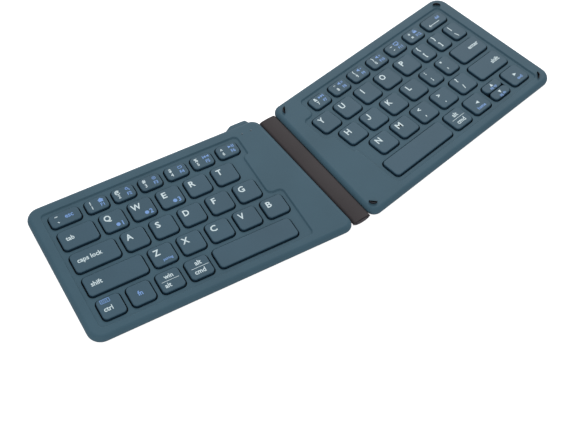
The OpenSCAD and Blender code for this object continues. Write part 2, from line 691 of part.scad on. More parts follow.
battery_v = max(row_v(2) + battery_back - battery_len, -post_v + post_r + battery_gap);
module battery() color("#9aa0a8") right_place()
  translate([right_bands[2][0] - well_margin + plate_in - battery_gap - battery_w, battery_v, z_floor])
    linear_extrude(battery_t) round_rect([0, 0, battery_w, battery_len], 0, 1);

// ---------- trim ----------
// a crescent bumper inside each corner of the right half, pointing at the corner
bumper_dirs = [n_out + n_back, n_back + n_hinge, n_hinge + n_front, n_front + n_out];
bumper_v = half_v - bumper_in;
bumper_places = [[half_reach - bumper_in, bumper_v], [hinge_u(bumper_v, wall_x + bumper_in), bumper_v],
                 [hinge_u(-bumper_v, wall_x + bumper_in), -bumper_v], [half_reach - bumper_in, -bumper_v]];
module crescents(h)
  for (i = [0:3]) {
    d = bumper_dirs[i] / norm(bumper_dirs[i]);
    o = bumper_places[i] - (bumper_r - bumper_w / 2) * d;
    translate([o[0], o[1], 0]) difference() {
      cylinder(r = bumper_r, h = h);
      translate([-bumper_w * d[0], -bumper_w * d[1], -1]) cylinder(r = bumper_r, h = h + 2);
    }
  }

module corner_bumpers() color(rubber_black) right_place()
  translate([0, 0, z_rim - bumper_seat]) crescents(bumper_seat + fold_gap - bumper_gap);

module feet() linear_extrude(foot_h)
  for (u = [foot_in, half_reach - foot_out], s = [-1, 1])
    translate([0, s * (half_v - foot_margin), 0])
      round_rect([u - foot_len / 2, -foot_w / 2, u + foot_len / 2, foot_w / 2], 0, foot_w / 2 - 0.1);
module left_feet() color(rubber_black) left_place() feet();
module right_feet() color(rubber_black) right_place() feet();

module screws(posts) for (p = posts) translate([p[0], p[1], z_base]) {
  difference() {
    cylinder(r = screw_head_r, h = screw_head_t);
    translate([0, 0, -1]) cylinder(r = screw_head_r * 0.45, h = 1.25, $fn = 6);
  }
  cylinder(r = screw_r, h = z_deck - z_base - 1.2);
}
module left_screws() color(steel) left_place() screws(left_posts);
module right_screws() color(steel) right_place() screws(right_posts);

left_top_case();
left_bottom_cover();
right_top_case();
right_bottom_cover();
left_backplate();
right_backplate();
left_dome_sheet();
right_dome_sheet();
main_board();
usb_c_port();
battery();
hinge_spine();
hinge_strip();
hinge_pins();
left_hinge_leaf();
right_hinge_leaf();
flex_cable();
corner_bumpers();
left_feet();
right_feet();
left_screws();
right_screws();
key_q();
key_w_();
key_e();
key_r();
key_t();
key_a();
key_s();
key_d_();
key_f();
key_g();
key_z();
key_x();
key_c();
key_v();
key_b();
key_y();
key_u();
key_i();
key_o();
key_p();
key_h();
key_j();
key_k();
key_l();
key_n();
key_m();
tab_key();
caps_lock_key();
left_shift_key();
right_shift_key();
enter_key();
left_space_bar();
right_space_bar();
left_number_keys();
right_number_keys();
punctuation_keys();
left_bottom_keys();
right_bottom_keys();
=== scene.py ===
# %% [markdown]
# # A folding keyboard, dressed for its portrait
# The keyboard is two slim plastic halves on either side of a double hinge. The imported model
# brings every working part at its true place; this file gives the visible parts their soft
# edges, their finishes and the printed legends. Everything here is in millimetres until a piece
# is finished.

# %% load the frame
import math
import bmesh
import bpy
from mathutils import Matrix, Vector


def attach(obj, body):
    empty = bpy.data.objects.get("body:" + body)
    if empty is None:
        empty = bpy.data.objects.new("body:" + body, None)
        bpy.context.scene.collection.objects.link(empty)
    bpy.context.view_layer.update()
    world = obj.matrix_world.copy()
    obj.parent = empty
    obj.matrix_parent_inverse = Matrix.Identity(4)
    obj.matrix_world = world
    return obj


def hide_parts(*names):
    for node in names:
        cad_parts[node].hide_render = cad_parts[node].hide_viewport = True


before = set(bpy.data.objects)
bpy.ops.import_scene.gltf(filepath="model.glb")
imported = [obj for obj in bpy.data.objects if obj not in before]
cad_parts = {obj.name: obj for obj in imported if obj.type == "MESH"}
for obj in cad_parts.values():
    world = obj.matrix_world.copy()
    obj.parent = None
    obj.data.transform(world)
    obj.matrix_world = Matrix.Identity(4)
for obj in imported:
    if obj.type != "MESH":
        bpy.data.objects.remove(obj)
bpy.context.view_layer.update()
MM = 0.001

# %% [markdown]
# ## The camera
# The camera comes first, so that every later step can be judged through it. It looks down over
# the left half's front corner.

# %% camera
CAMERA_AT = (-286.14, -357.87, 554.81)
CAMERA_RIGHT = (0.8049, -0.5931, 0.0183)
CAMERA_BACK = (-0.3675, -0.4740, 0.8002)
CAMERA_LENS, SENSOR_WIDTH = 73.66, 36.0


def new_object(name, data):
    obj = bpy.data.objects.new(name, data)
    bpy.context.scene.collection.objects.link(obj)
    return obj


camera_data = bpy.data.cameras.new("camera")
camera_data.lens = CAMERA_LENS
camera_data.sensor_width = SENSOR_WIDTH
camera_data.sensor_fit = "HORIZONTAL"
camera = new_object("camera", camera_data)
back = Vector(CAMERA_BACK).normalized()
right = (Vector(CAMERA_RIGHT) - back * back.dot(Vector(CAMERA_RIGHT))).normalized()
axes = Matrix((right, back.cross(right), back)).transposed().to_4x4()
camera.matrix_world = Matrix.Translation(Vector(CAMERA_AT) * MM) @ axes
bpy.context.scene.camera = camera
print("camera", [round(x, 3) for x in camera.location])

# %% [markdown]
# ## Sizes of the two halves
# Each half is a slab 5.8 mm thick. In its own plan, u runs outwards from the hinge and v runs
# to the back; the half is then turned 7 degrees so that the keys fan out under the hands. The
# left half counts u to the other side, so each plan is laid out for its side first, and the
# legends still read the right way round.

# %% sizes
YAW = math.radians(7)
MIDDLE_Y = 9.9658                 # the model's box is centred, the hinge line isn't
REACH, HALF_DEPTH, CASE_T = 165.0, 50.0, 5.8
OUTER_R, HINGE_R, SIDE_WALL = 8.5, 6.1, 3.2
HINGE_WALL_X = 6.1                # wall beside the hinge, straight along the hinge line
# heights above the table: of the underside, the tray's floor, the line where the shells part,
# the foot of a cap, the deck's two faces, the rim and the caps' tops
Z_BASE, Z_FLOOR, Z_PART = 0.8, 1.8, 2.7
Z_SKIRT, Z_DECK, Z_WELL, Z_RIM, Z_CAP = 4.45, 5.0, 5.7, 6.6, 7.1
LEFT, RIGHT = -1, 1
SIDES = {LEFT: "left", RIGHT: "right"}


def hinge_u(v, x=HINGE_WALL_X):
    "u of a line along the hinge, at depth v"
    return (x + v * math.sin(YAW)) / math.cos(YAW)


def place(side):
    "turns a half's plan into the keyboard's own frame"
    return Matrix.Translation((0, -MIDDLE_Y, 0)) @ Matrix.Rotation(side * YAW, 4, "Z")


OUTLINE = [(REACH, -HALF_DEPTH), (REACH, HALF_DEPTH),
           (hinge_u(HALF_DEPTH), HALF_DEPTH), (hinge_u(-HALF_DEPTH), -HALF_DEPTH)]
OUTLINE_R = [OUTER_R, OUTER_R, HINGE_R, HINGE_R]
print("plan of a half:", [(round(u, 1), v) for u, v in OUTLINE])

# %% [markdown]
# ## Where the keys are
# A compact keyboard shifts each row a little. Letters stand 18 mm apart in a row, and the rows
# 17.5 mm apart. Each key's opening is a rectangle worked out from those steps, so one changed
# pitch moves every key, its opening and its legend together.

# %% key layout
KEY_W, KEY_D, WEB = 15.6, 15.1, 2.4
PITCH, NUMBER_PITCH, SMALL_PITCH, ROW_PITCH = 18.0, 17.08, 17.84, 17.5
FRONT_MARGIN = 9.15               # from a half's front edge to its first row of openings
NUMBER_W, NUMBER_D, SMALL_W = 14.9, 10.9, 15.4
NARROW_W, NARROW_WEB = 12.3, 2.3
Q_OUTER, Y_INNER = 129.2, 22.5
EDGE = {LEFT: 154.8, RIGHT: 153.8}
ROW_SHIFT = {1: 14.35, 2: 5.53, 3: 0.0}
NUMBER_SHIFT = {LEFT: 3.37, RIGHT: 9.18}
SPACE_W = {LEFT: 51.4, RIGHT: 51.0}
SMALL_INSET, SPACE_SHIFT = 0.6, 8.24


def row_v(row):
    return -HALF_DEPTH + FRONT_MARGIN + row * ROW_PITCH


def cell(u0, u1, row):
    return (u0, row_v(row), u1, row_v(row) + (NUMBER_D if row == 4 else KEY_D))


def run(start, count, width, pitch, row, outward=True):
    "a run of equal keys; outward ones start at their inner edge"
    starts = [start + i * pitch if outward else start - i * pitch - width for i in range(count)]
    return [cell(u, u + width, row) for u in starts]


left_cells, right_cells = {}, {}
for row, letters in ((3, "qwert"), (2, "asdfg"), (1, "zxcvb")):
    cells = run(Q_OUTER - ROW_SHIFT[row], 5, KEY_W, PITCH, row, outward=False)
    left_cells.update(zip(letters, cells))
    wide = {3: "tab", 2: "caps", 1: "left_shift"}[row]
    left_cells[wide] = cell(cells[0][2] + WEB, EDGE[LEFT], row)
numbers = run(Q_OUTER + NUMBER_SHIFT[LEFT], 6, NUMBER_W, NUMBER_PITCH, 4, outward=False)
left_cells["esc"] = cell(numbers[0][2] + WEB, EDGE[LEFT], 4)
left_cells.update(zip("123456", numbers))
small = run(EDGE[LEFT] - SMALL_INSET, 4, SMALL_W, SMALL_PITCH, 0, outward=False)
left_cells.update(zip(("ctrl", "fn", "win", "left_alt"), small))
space_end = small[3][0] - WEB
left_cells["left_space"] = cell(space_end - SPACE_W[LEFT], space_end, 0)

for row, letters in ((3, "yuiop"), (2, "hjkl"), (1, ("n", "m", "comma", "dot", "slash"))):
    cells = run(Y_INNER + ROW_SHIFT[row], len(letters), KEY_W, PITCH, row)
    right_cells.update(zip(letters, cells))
numbers = run(Y_INNER + NUMBER_SHIFT[RIGHT], 6, NUMBER_W, NUMBER_PITCH, 4)
right_cells.update(zip(("7", "8", "9", "0", "minus", "equals"), numbers))
right_cells["backspace"] = cell(numbers[5][2] + WEB, EDGE[RIGHT], 4)
NARROW_PITCH = NARROW_W + NARROW_WEB
brackets = run(right_cells["p"][2] + NARROW_WEB, 2, NARROW_W, NARROW_PITCH, 3)
right_cells.update(zip(("open", "close"), brackets))
right_cells["pipe"] = cell(brackets[1][2] + NARROW_WEB, EDGE[RIGHT], 3)
quotes = run(right_cells["l"][0] + PITCH, 2, NARROW_W, NARROW_PITCH, 2)
right_cells.update(zip(("colon", "quote"), quotes))
right_cells["enter"] = cell(quotes[1][2] + WEB, EDGE[RIGHT], 2)
right_cells["right_shift"] = cell(right_cells["slash"][2] + WEB, EDGE[RIGHT], 1)
space_start = Y_INNER + SPACE_SHIFT
right_cells["right_space"] = cell(space_start, space_start + SPACE_W[RIGHT], 0)
right_cells.update(zip(("right_alt", "left_arrow", "up_down"),
                       run(right_cells["right_space"][2] + WEB, 3, KEY_W, PITCH, 0)))
right_cells["right_arrow"] = cell(right_cells["up_down"][2] + WEB, EDGE[RIGHT], 0)
CELLS = {LEFT: left_cells, RIGHT: right_cells}
print("keys:", len(left_cells), "left and", len(right_cells), "right")

# %% [markdown]
# ## Small tools
# A rounded outline is a flat face whose corners are bevelled one at a time, each by the length
# that makes its arc a true circle for the angle it turns. Extruding and insetting such a face
# gives every wall, well and opening here, with edges that catch the light.

# %% rounded faces
def face_up(bm, verts):
    "a flat face that looks up"
    face = bm.faces.new(verts)
    bm.normal_update()
    if face.normal.z < 0:
        face.normal_flip()
    return face


def rounded_face(bm, points, radii, z, segments=8):
    "a flat face, looking up, with its corners rounded"
    verts = [bm.verts.new((x, y, z)) for x, y in points]
    face_up(bm, verts)
    for vert, radius in zip(verts, radii):
        arms = [e.other_vert(vert).co - vert.co for e in vert.link_edges]
        setback = radius * math.tan((math.pi - arms[0].angle(arms[1])) / 2)
        made = bmesh.ops.bevel(bm, geom=[vert], offset=setback, affect="VERTICES",
                               segments=segments, profile=0.5, material=-1)
    return made["verts"][0].link_faces[0]


def sided(points, side):
    "a plan's points, laid out for its side"
    return [(side * u, v) for u, v in points]


def rect_points(x0, y0, x1, y1):
    return [(x0, y0), (x1, y0), (x1, y1), (x0, y1)]


# %% stepping, sinking and filling
SAME_PLACE = 1e-4                 # points closer than this, in mm, count as one


def step_in(bm, face, steps):
    "insets a face again and again: each step goes inwards and down by its two lengths"
    for inwards, down in steps:
        bmesh.ops.inset_region(bm, faces=[face], thickness=inwards, depth=-down,
                               use_even_offset=True, use_boundary=True)
    return face


def raise_face(bm, face, height):
    "extrudes a face upwards and keeps the one below; gives back everything made"
    made = bmesh.ops.extrude_face_region(bm, geom=[face])["geom"]
    top = [g for g in made if isinstance(g, bmesh.types.BMVert)]
    bmesh.ops.translate(bm, verts=top, vec=(0, 0, height))
    return made


def pull(bm, face, z):
    "extrudes a face straight up or down to a height, and leaves no face behind it"
    made = bmesh.ops.extrude_face_region(bm, geom=[face])["geom"]
    moved = [g for g in made if isinstance(g, bmesh.types.BMFace)][0]
    for vert in moved.verts:
        vert.co.z = z
    if face.is_valid:
        bmesh.ops.delete(bm, geom=[face], context="FACES_ONLY")
    return moved


def drop_face(bm, face):
    bmesh.ops.delete(bm, geom=[face], context="FACES_ONLY")


def fill_level(bm, z):
    "closes the flat ground between all open rims at one height"
    rims = [e for e in bm.edges
            if e.is_boundary and all(abs(v.co.z - z) < SAME_PLACE for v in e.verts)]
    bmesh.ops.triangle_fill(bm, edges=rims, use_beauty=True, use_dissolve=False, normal=(0, 0, 1))


def round_over(size, count):
    "steps of a quarter round that starts flat and ends upright"
    turns = [math.pi / 2 * i / count for i in range(count + 1)]
    return [(size * (math.sin(b) - math.sin(a)), size * (math.cos(a) - math.cos(b)))
            for a, b in zip(turns, turns[1:])]


def soft_step(width, depth, count):
    "steps of a gentle S from one level down to another"
    turns = [math.pi * i / count for i in range(count + 1)]
    return [(width / count, depth * (math.cos(a) - math.cos(b)) / 2)
            for a, b in zip(turns, turns[1:])]


# %% finishing a piece
def as_mesh(name, bm):
    mesh = bpy.data.meshes.new(name)
    bm.to_mesh(mesh)
    bm.free()
    return mesh


def pour(part, bm):
    "adds one bmesh to another"
    mesh = as_mesh("part", part)
    bm.from_mesh(mesh)
    bpy.data.meshes.remove(mesh)


def settle(label, bm):
    "turns all faces outwards and says how many edges are still open"
    bmesh.ops.recalc_face_normals(bm, faces=bm.faces)
    open_edges = sum(not e.is_manifold for e in bm.edges)
    print(label + ":", len(bm.faces), "faces,", open_edges, "open edges")


def finish_piece(name, bm, side, finishes, body, replaced=(), sharp=38.0):
    "puts a mesh into the keyboard's frame, in metres, and makes it ride on its body"
    bmesh.ops.remove_doubles(bm, verts=bm.verts, dist=SAME_PLACE)
    mesh = as_mesh(name, bm)
    for finish in finishes:
        mesh.materials.append(finish)
    mesh.transform(Matrix.Scale(MM, 4) @ (place(side) if side else Matrix()))
    for polygon in mesh.polygons:
        polygon.use_smooth = True
    mesh.set_sharp_from_angle(angle=math.radians(sharp))
    piece = new_object(name, mesh)
    shading = piece.modifiers.new("even shading", "WEIGHTED_NORMAL")
    shading.keep_sharp = True
    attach(piece, body)
    if replaced:
        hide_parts(*replaced)


# %% [markdown]
# ## Finishes
# The shell and the keys are ABS with a soft-touch paint: a matt slate blue with a fine grain
# and hardly any gloss. The hinge cover is a brown-grey elastomer. Legends are pad-printed ink.
# Each finish is built on Object coordinates, so its grain has a true size in millimetres.

# %% material tools
def linear(hex_colour):
    "an sRGB hex colour as Blender's linear numbers"
    parts = [int(hex_colour[i:i + 2], 16) / 255 for i in (1, 3, 5)]
    return [c / 12.92 if c <= 0.04045 else ((c + 0.055) / 1.055) ** 2.4 for c in parts] + [1.0]


def add_node(tree, kind, settings=None, links=None):
    "adds a shader node; settings name attributes or input sockets, links name input sockets"
    node = tree.nodes.new("ShaderNode" + kind)
    for key, value in (settings or {}).items():
        if isinstance(key, int) or key in node.inputs:
            node.inputs[key].default_value = value
        else:
            setattr(node, key, value)
    for key, socket in (links or {}).items():
        tree.links.new(socket, node.inputs[key])
    return node


def empty_tree(owner):
    "switches a material or world to nodes and clears them"
    owner.use_nodes = True
    owner.node_tree.nodes.clear()
    return owner.node_tree


def per_metre(millimetres):
    "noise scale whose features are this many millimetres across"
    return 1000.0 / millimetres


def plastic(name, colour, roughness, grain_mm, grain_depth, drift=0.06, shine=0.5, sheen=0.0):
    "a moulded or painted surface: its colour drifts over centimetres, its grain is a fine bump"
    material = bpy.data.materials.new(name)
    tree = empty_tree(material)
    where = add_node(tree, "TexCoord").outputs["Object"]
    cloud = add_node(tree, "TexNoise", {"Scale": per_metre(35), "Detail": 3.0},
                     {"Vector": where})
    grain = add_node(tree, "TexNoise",
                     {"Scale": per_metre(grain_mm), "Detail": 4.0, "Roughness": 0.6},
                     {"Vector": where})
    ramp = add_node(tree, "ValToRGB", links={"Fac": cloud.outputs["Fac"]})
    for stop, at, factor in zip(ramp.color_ramp.elements, (0.3, 0.7), (1 - drift, 1 + drift)):
        stop.position = at
        stop.color = [min(1, c * factor) for c in linear(colour)[:3]] + [1]
    rough = add_node(tree, "MapRange",
                     {"To Min": roughness - 0.05, "To Max": roughness + 0.06},
                     {"Value": grain.outputs["Fac"]})
    bump = add_node(tree, "Bump", {"Strength": 0.35, "Distance": grain_depth * MM},
                    {"Height": grain.outputs["Fac"]})
    shader = add_node(tree, "BsdfPrincipled",
                      {"Specular IOR Level": shine, "Sheen Weight": sheen,
                       "Sheen Roughness": 0.45},
                      {"Base Color": ramp.outputs["Color"], "Roughness": rough.outputs["Result"],
                       "Normal": bump.outputs["Normal"]})
    add_node(tree, "OutputMaterial", links={"Surface": shader.outputs["BSDF"]})
    return material


# %% finishes
# soft-touch painted ABS: matt, with a grain of about a third of a millimetre
shell_paint = plastic("soft_touch_slate_paint", "#446473", 0.56, 0.35, 0.02, shine=0.3,
                      sheen=0.12)
# the caps have the same paint, a shade darker and smoother
key_paint = plastic("soft_touch_key_paint", "#446272", 0.5, 0.3, 0.015, shine=0.3, sheen=0.08)
# dark plastic painted as the shade that falls in the gaps, on the caps' skirts and the sides of the
# openings
gap_painted_shade = plastic("dark_abs_painted_shade", "#1b3a4d", 0.6, 0.3, 0.015)
# moulded ABS of the underside, brown-grey and coarser
cover_plastic = plastic("moulded_abs_cover", "#4a4448", 0.6, 0.5, 0.04)
# thermoplastic elastomer over the hinge: dull, with a faint mottling
strip_rubber = plastic("hinge_elastomer", "#413b3c", 0.62, 0.6, 0.03, drift=0.1, shine=0.3)
# nitrile rubber of bumpers and feet
black_rubber = plastic("black_nitrile_rubber", "#1c1c24", 0.68, 0.4, 0.03)
# silicone dome sheet under the keys, made near-black as painted shade so that the gaps between the
# caps look dark
dome_rubber_and_shade = plastic("dome_silicone_painted_shade", "#1b2228", 0.55, 0.8, 0.02)
# pad-printed inks
white_ink = plastic("pad_print_white", "#e9fbff", 0.5, 0.25, 0.004, drift=0.02)
blue_ink = plastic("pad_print_blue", "#86b2f0", 0.5, 0.25, 0.004, drift=0.03)
# smoked polycarbonate over the two lights: glossy, so it catches a point of light
smoked_lens = plastic("smoked_polycarbonate", "#33454f", 0.15, 0.3, 0.0)
# glass-epoxy board under solder mask
board_mask = plastic("solder_mask_green", "#1f5a3c", 0.4, 0.7, 0.01)
# polyimide film of the flexible circuit
film = plastic("polyimide_film", "#b8742c", 0.35, 0.9, 0.01)


def metal(name, colour, roughness, stretch):
    "rolled or drawn metal: its grain runs one way, so the noise is stretched along y"
    material = bpy.data.materials.new(name)
    tree = empty_tree(material)
    where = add_node(tree, "TexCoord").outputs["Object"]
    lay = add_node(tree, "Mapping", links={"Vector": where})
    lay.inputs["Scale"].default_value = (1.0, 1.0 / stretch, 1.0)
    grain = add_node(tree, "TexNoise", {"Scale": per_metre(0.3), "Detail": 3.0},
                     {"Vector": lay.outputs["Vector"]})
    tint = add_node(tree, "ValToRGB", links={"Fac": grain.outputs["Fac"]})
    tint.color_ramp.elements[0].color = [c * 0.88 for c in linear(colour)[:3]] + [1]
    tint.color_ramp.elements[1].color = linear(colour)
    rough = add_node(tree, "MapRange",
                     {"To Min": roughness - 0.06, "To Max": roughness + 0.08},
                     {"Value": grain.outputs["Fac"]})
    shader = add_node(tree, "BsdfPrincipled", {"Metallic": 1.0},
                      {"Base Color": tint.outputs["Color"], "Roughness": rough.outputs["Result"]})
    add_node(tree, "OutputMaterial", links={"Surface": shader.outputs["BSDF"]})
    return material


# stainless steel of pins, plates, screws and the port's drawn shell; the leaves are coated
# with the strip's own elastomer
steel = metal("stainless_steel", "#b9bcc0", 0.32, 8)
# aluminium-laminate pouch round the cell
pouch_foil = metal("battery_pouch_foil", "#a4aab0", 0.38, 2)
print("finishes:", len(bpy.data.materials))

# %% finishes of the model's own parts
NODE_FINISH = {
    steel: ("left_backplate", "right_backplate", "usb_c_port", "hinge_pins", "left_screws",
            "right_screws"),
    strip_rubber: ("left_hinge_leaf", "right_hinge_leaf", "hinge_strip"),
    black_rubber: ("corner_bumpers", "left_feet", "right_feet"),
    dome_rubber_and_shade: ("left_dome_sheet", "right_dome_sheet"), pouch_foil: ("battery",),
    board_mask: ("main_board",), film: ("flex_cable",), cover_plastic: ("hinge_spine",)}
for finish, nodes in NODE_FINISH.items():
    for node in nodes:
        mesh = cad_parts[node].data
        mesh.materials.clear()
        mesh.materials.append(finish)
print("nodes given a finish:", sum(len(nodes) for nodes in NODE_FINISH.values()))

# %% [markdown]
# ## The top cases
# A top case is a plate with half-round sides, a shallow well that holds the keys, and an
# opening for every key. Its skin is a rounded outline extruded to the case's thickness, with
# both rims bevelled to meet in the middle, cut where the two shells part. The well goes down in
# a soft S. The flat grounds between these rims are filled last, so the shell ends closed.

# %% the skin between two heights
SIDE_BEVEL = CASE_T / 2 - 0.05


def skin(side, low, high):
    "the outer side of a half, open above and below"
    bm = bmesh.new()
    face = rounded_face(bm, sided(OUTLINE, side), OUTLINE_R, Z_BASE, segments=12)
    raise_face(bm, face, CASE_T)
    rims = [e for e in bm.edges if abs(e.verts[0].co.z - e.verts[1].co.z) < 1e-6]
    bmesh.ops.bevel(bm, geom=rims, offset=SIDE_BEVEL, affect="EDGES", segments=12,
                    profile=0.5, material=-1)
    for height, gone in ((low, "clear_inner"), (high, "clear_outer")):
        if Z_BASE < height < Z_RIM:
            bmesh.ops.bisect_plane(bm, geom=bm.verts[:] + bm.edges[:] + bm.faces[:], dist=1e-6,
                                   plane_co=(0, 0, height), plane_no=(0, 0, 1), **{gone: True})
    flats = [f for f in bm.faces
             if max(v.co.z for v in f.verts) - min(v.co.z for v in f.verts) < 1e-5]
    bmesh.ops.delete(bm, geom=flats, context="FACES_ONLY")
    return bm


# %% the well's plan
WELL_MARGIN, WELL_R, WELL_SLOPE = 3.1, 3.3, 1.1
FULLEST = 0.48                    # largest corner radius, as a share of the shorter side
WELL_BANDS = {LEFT: (("6", 4, 4), ("g", 2, 3), ("b", 0, 1)),
              RIGHT: (("7", 4, 4), ("y", 3, 3), ("h", 2, 2), ("right_space", 0, 1))}


def well_plan(side):
    "the stepped outline round the keys, and a radius for each corner"
    bands = [(CELLS[side][name][0] - WELL_MARGIN, row_v(low) - WELL_MARGIN,
              cell(0, 0, high)[3] + WELL_MARGIN) for name, low, high in WELL_BANDS[side]]
    outer = EDGE[side] + WELL_MARGIN
    points = [(outer, bands[0][2]), (bands[0][0], bands[0][2])]
    for above, below in zip(bands, bands[1:]):
        step = above[1] if above[0] < below[0] else below[2]
        points += [(above[0], step), (below[0], step)]
    points += [(bands[-1][0], bands[-1][1]), (outer, bands[-1][1])]
    radii = []
    for i, point in enumerate(points):
        arms = [math.dist(point, points[(i + j) % len(points)]) for j in (-1, 1)]
        radii.append(min(WELL_R, FULLEST * min(arms)))
    return points, radii


# %% top cases
HOLE_R, HOLE_EDGE = 3.2, 0.2
CAVITY_EXTRA_R = 0.6              # the cavity's corners are rounder than an even wall gives


def shrunk_outline(side, inset):
    "corner points of the outline with every side moved inwards"
    slope = inset / math.cos(YAW)
    low, high = -HALF_DEPTH + inset, HALF_DEPTH - inset
    return sided([(REACH - inset, low), (REACH - inset, high),
                  (hinge_u(high) + slope, high), (hinge_u(low) + slope, low)], side)


def add_cavity(bm, side, z0, z1):
    "the inner walls, between two heights"
    face = rounded_face(bm, shrunk_outline(side, SIDE_WALL),
                        [r - SIDE_WALL + CAVITY_EXTRA_R for r in OUTLINE_R], z0, segments=6)
    drop_face(bm, pull(bm, face, z1))


def finish_case(bm, side, levels, part, ending, finishes):
    "fills a case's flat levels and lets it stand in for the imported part"
    for height in levels:
        fill_level(bm, height)
    bmesh.ops.remove_doubles(bm, verts=bm.verts, dist=SAME_PLACE)
    node = SIDES[side] + part
    settle(node, bm)
    finish_piece(node + ending, bm, side, finishes, SIDES[side] + "_half", [node])


def top_case(side):
    bm = skin(side, Z_PART, Z_RIM)
    points, radii = well_plan(side)
    well = rounded_face(bm, sided(points, side), radii, Z_RIM, segments=6)
    drop_face(bm, step_in(bm, well, soft_step(WELL_SLOPE, Z_RIM - Z_WELL, 8)))
    for u0, v0, u1, v1 in CELLS[side].values():
        x0, x1 = sorted((side * u0, side * u1))
        opening = rounded_face(bm, rect_points(x0 - HOLE_EDGE, v0 - HOLE_EDGE, x1 + HOLE_EDGE,
                                               v1 + HOLE_EDGE), [HOLE_R + HOLE_EDGE] * 4, Z_WELL)
        step_in(bm, opening, round_over(HOLE_EDGE, 3))
        bottom = pull(bm, opening, Z_DECK)
        # the opening's walls are painted with the dark shade seen in the gaps between caps
        for edge in bottom.edges:
            for wall in edge.link_faces:
                wall.material_index = 1
        drop_face(bm, bottom)
    add_cavity(bm, side, Z_PART, Z_DECK)
    finish_case(bm, side, (Z_RIM, Z_WELL, Z_DECK, Z_PART), "_top_case", "_shell",
                [shell_paint, gap_painted_shade])


for side in SIDES:
    top_case(side)

# %% [markdown]
# ## The bottom covers
# The underside is a tray with the same rounded side, seen as a thin brown-grey line under the
# blue shell. Its six screws sit in round recesses. The tray is made like the top case: a skin,
# recesses, a flat floor filled round them, and an inner floor with its walls.

# %% bottom covers
RECESS_R, RECESS_EDGE = 1.5, 0.15
RECESS_WALL = (0.05, -0.1)        # the last step into a recess: inwards, and down from the floor
POST_V, SIDE_POST_U, SIDE_POST_V = 44.4, 158.4, 31.0
# where the screws stand, as u and v
SCREWS = {side: [(SIDE_POST_U, SIDE_POST_V), (SIDE_POST_U, -SIDE_POST_V), (86.0, -POST_V),
                 (hinge_u(-POST_V, 19.0), -POST_V), (100.0, POST_V)] for side in SIDES}
SCREWS[LEFT].append((38.0, POST_V))
SCREWS[RIGHT].append((22.0, POST_V - 4.5))


def add_recess(bm, x, y):
    "a soft-edged round step into the floor from below, closed by its own flat end"
    corners = rect_points(x - RECESS_R, y - RECESS_R, x + RECESS_R, y + RECESS_R)
    face = rounded_face(bm, corners, [0.98 * RECESS_R] * 4, Z_BASE, segments=6)
    step_in(bm, face, [(RECESS_EDGE, -RECESS_EDGE), RECESS_WALL])


def bottom_cover(side):
    bm = skin(side, Z_BASE, Z_PART)
    bmesh.ops.reverse_faces(bm, faces=bm.faces[:])
    for u, v in SCREWS[side]:
        add_recess(bm, side * u, v)
    add_cavity(bm, side, Z_PART, Z_FLOOR)
    finish_case(bm, side, (Z_BASE, Z_FLOOR, Z_PART), "_bottom_cover", "_tray",
                [cover_plastic])


for side in SIDES:
    bottom_cover(side)

# %% [markdown]
# ## The port's boss
# Behind the left half, beside the hinge, the housing swells into a low boss that holds the
# charging port. Its plan tapers into the back wall, its edges are soft, and its mouth is a slot
# with round ends, in which the port's steel shell shows. It runs on into the case's side.

# %% port boss
PORT_U, PORT_HALF, PORT_Z = 23.5, 4.45, 2.9
BOSS_LOW, BOSS_HIGH, BOSS_OUT = 0.9, 4.7, 2.9
BOSS_ENDS = (16.95, 33.15)        # of its foot at the case, as u
BOSS_MOUTH = (18.2, 28.8)         # of its flat end
BOSS_ROOT, BOSS_LIP = 2.5, 0.35   # how far it runs into the case, and how deep its soft rim is
BOSS_SOFT = 0.3                   # its bevelled edges
SLOT_HALF_T = 1.6


def boss_ring(bm, v, u0, u1, low, high, soft):
    "one upright section of the boss, as a loop of points at depth v"
    points = [(u0 + soft, low), (u1 - soft, low), (u1, low + soft), (u1, high - soft),
              (u1 - soft, high), (u0 + soft, high), (u0, high - soft), (u0, low + soft)]
    return [bm.verts.new((LEFT * u, v, z)) for u, z in points]


def slot_ring(bm, v, count=6):
    "the slot's section, as a loop of points at depth v"
    turns = [-math.pi / 2 + math.pi * i / count for i in range(count + 1)]
    reach = PORT_HALF - SLOT_HALF_T
    points = [(PORT_U + end * (reach + SLOT_HALF_T * math.cos(a)),
               PORT_Z + end * SLOT_HALF_T * math.sin(a)) for end in (1, -1) for a in turns]
    return [bm.verts.new((LEFT * u, v, z)) for u, z in points]


def loop_edges(bm, loop):
    return [bm.edges.get(pair) or bm.edges.new(pair) for pair in zip(loop, loop[1:] + loop[:1])]


def join_loops(bm, first, second):
    "a band of faces between two loops of the same length"
    for i in range(len(first)):
        j = (i + 1) % len(first)
        bm.faces.new((first[i], first[j], second[j], second[i]))


def port_boss():
    bm = bmesh.new()
    back = HALF_DEPTH + BOSS_OUT
    section = BOSS_LOW, BOSS_HIGH, BOSS_SOFT
    root = boss_ring(bm, HALF_DEPTH - BOSS_ROOT, *BOSS_ENDS, *section)
    foot = boss_ring(bm, HALF_DEPTH, *BOSS_ENDS, *section)
    lip = boss_ring(bm, back - BOSS_LIP, BOSS_MOUTH[0] - 0.1, BOSS_MOUTH[1] + 0.4, *section)
    mouth = boss_ring(bm, back, BOSS_MOUTH[0] + 0.2, BOSS_MOUTH[1] - 0.2,
                      BOSS_LOW + BOSS_SOFT, BOSS_HIGH - BOSS_LIP, 0.25)
    for near, far in zip((root, foot, lip), (foot, lip, mouth)):
        join_loops(bm, near, far)
    outer_slot, inner_slot = slot_ring(bm, back), slot_ring(bm, HALF_DEPTH - BOSS_ROOT)
    join_loops(bm, outer_slot, inner_slot)
    for ring_a, ring_b in ((mouth, outer_slot), (root, inner_slot)):
        rims = loop_edges(bm, ring_a) + loop_edges(bm, ring_b)
        bmesh.ops.triangle_fill(bm, edges=rims, use_beauty=True, use_dissolve=False,
                                normal=(0, 1, 0))
    settle("port boss", bm)
    finish_piece("port_boss", bm, LEFT, [shell_paint], "left_half", sharp=50.0)


port_boss()

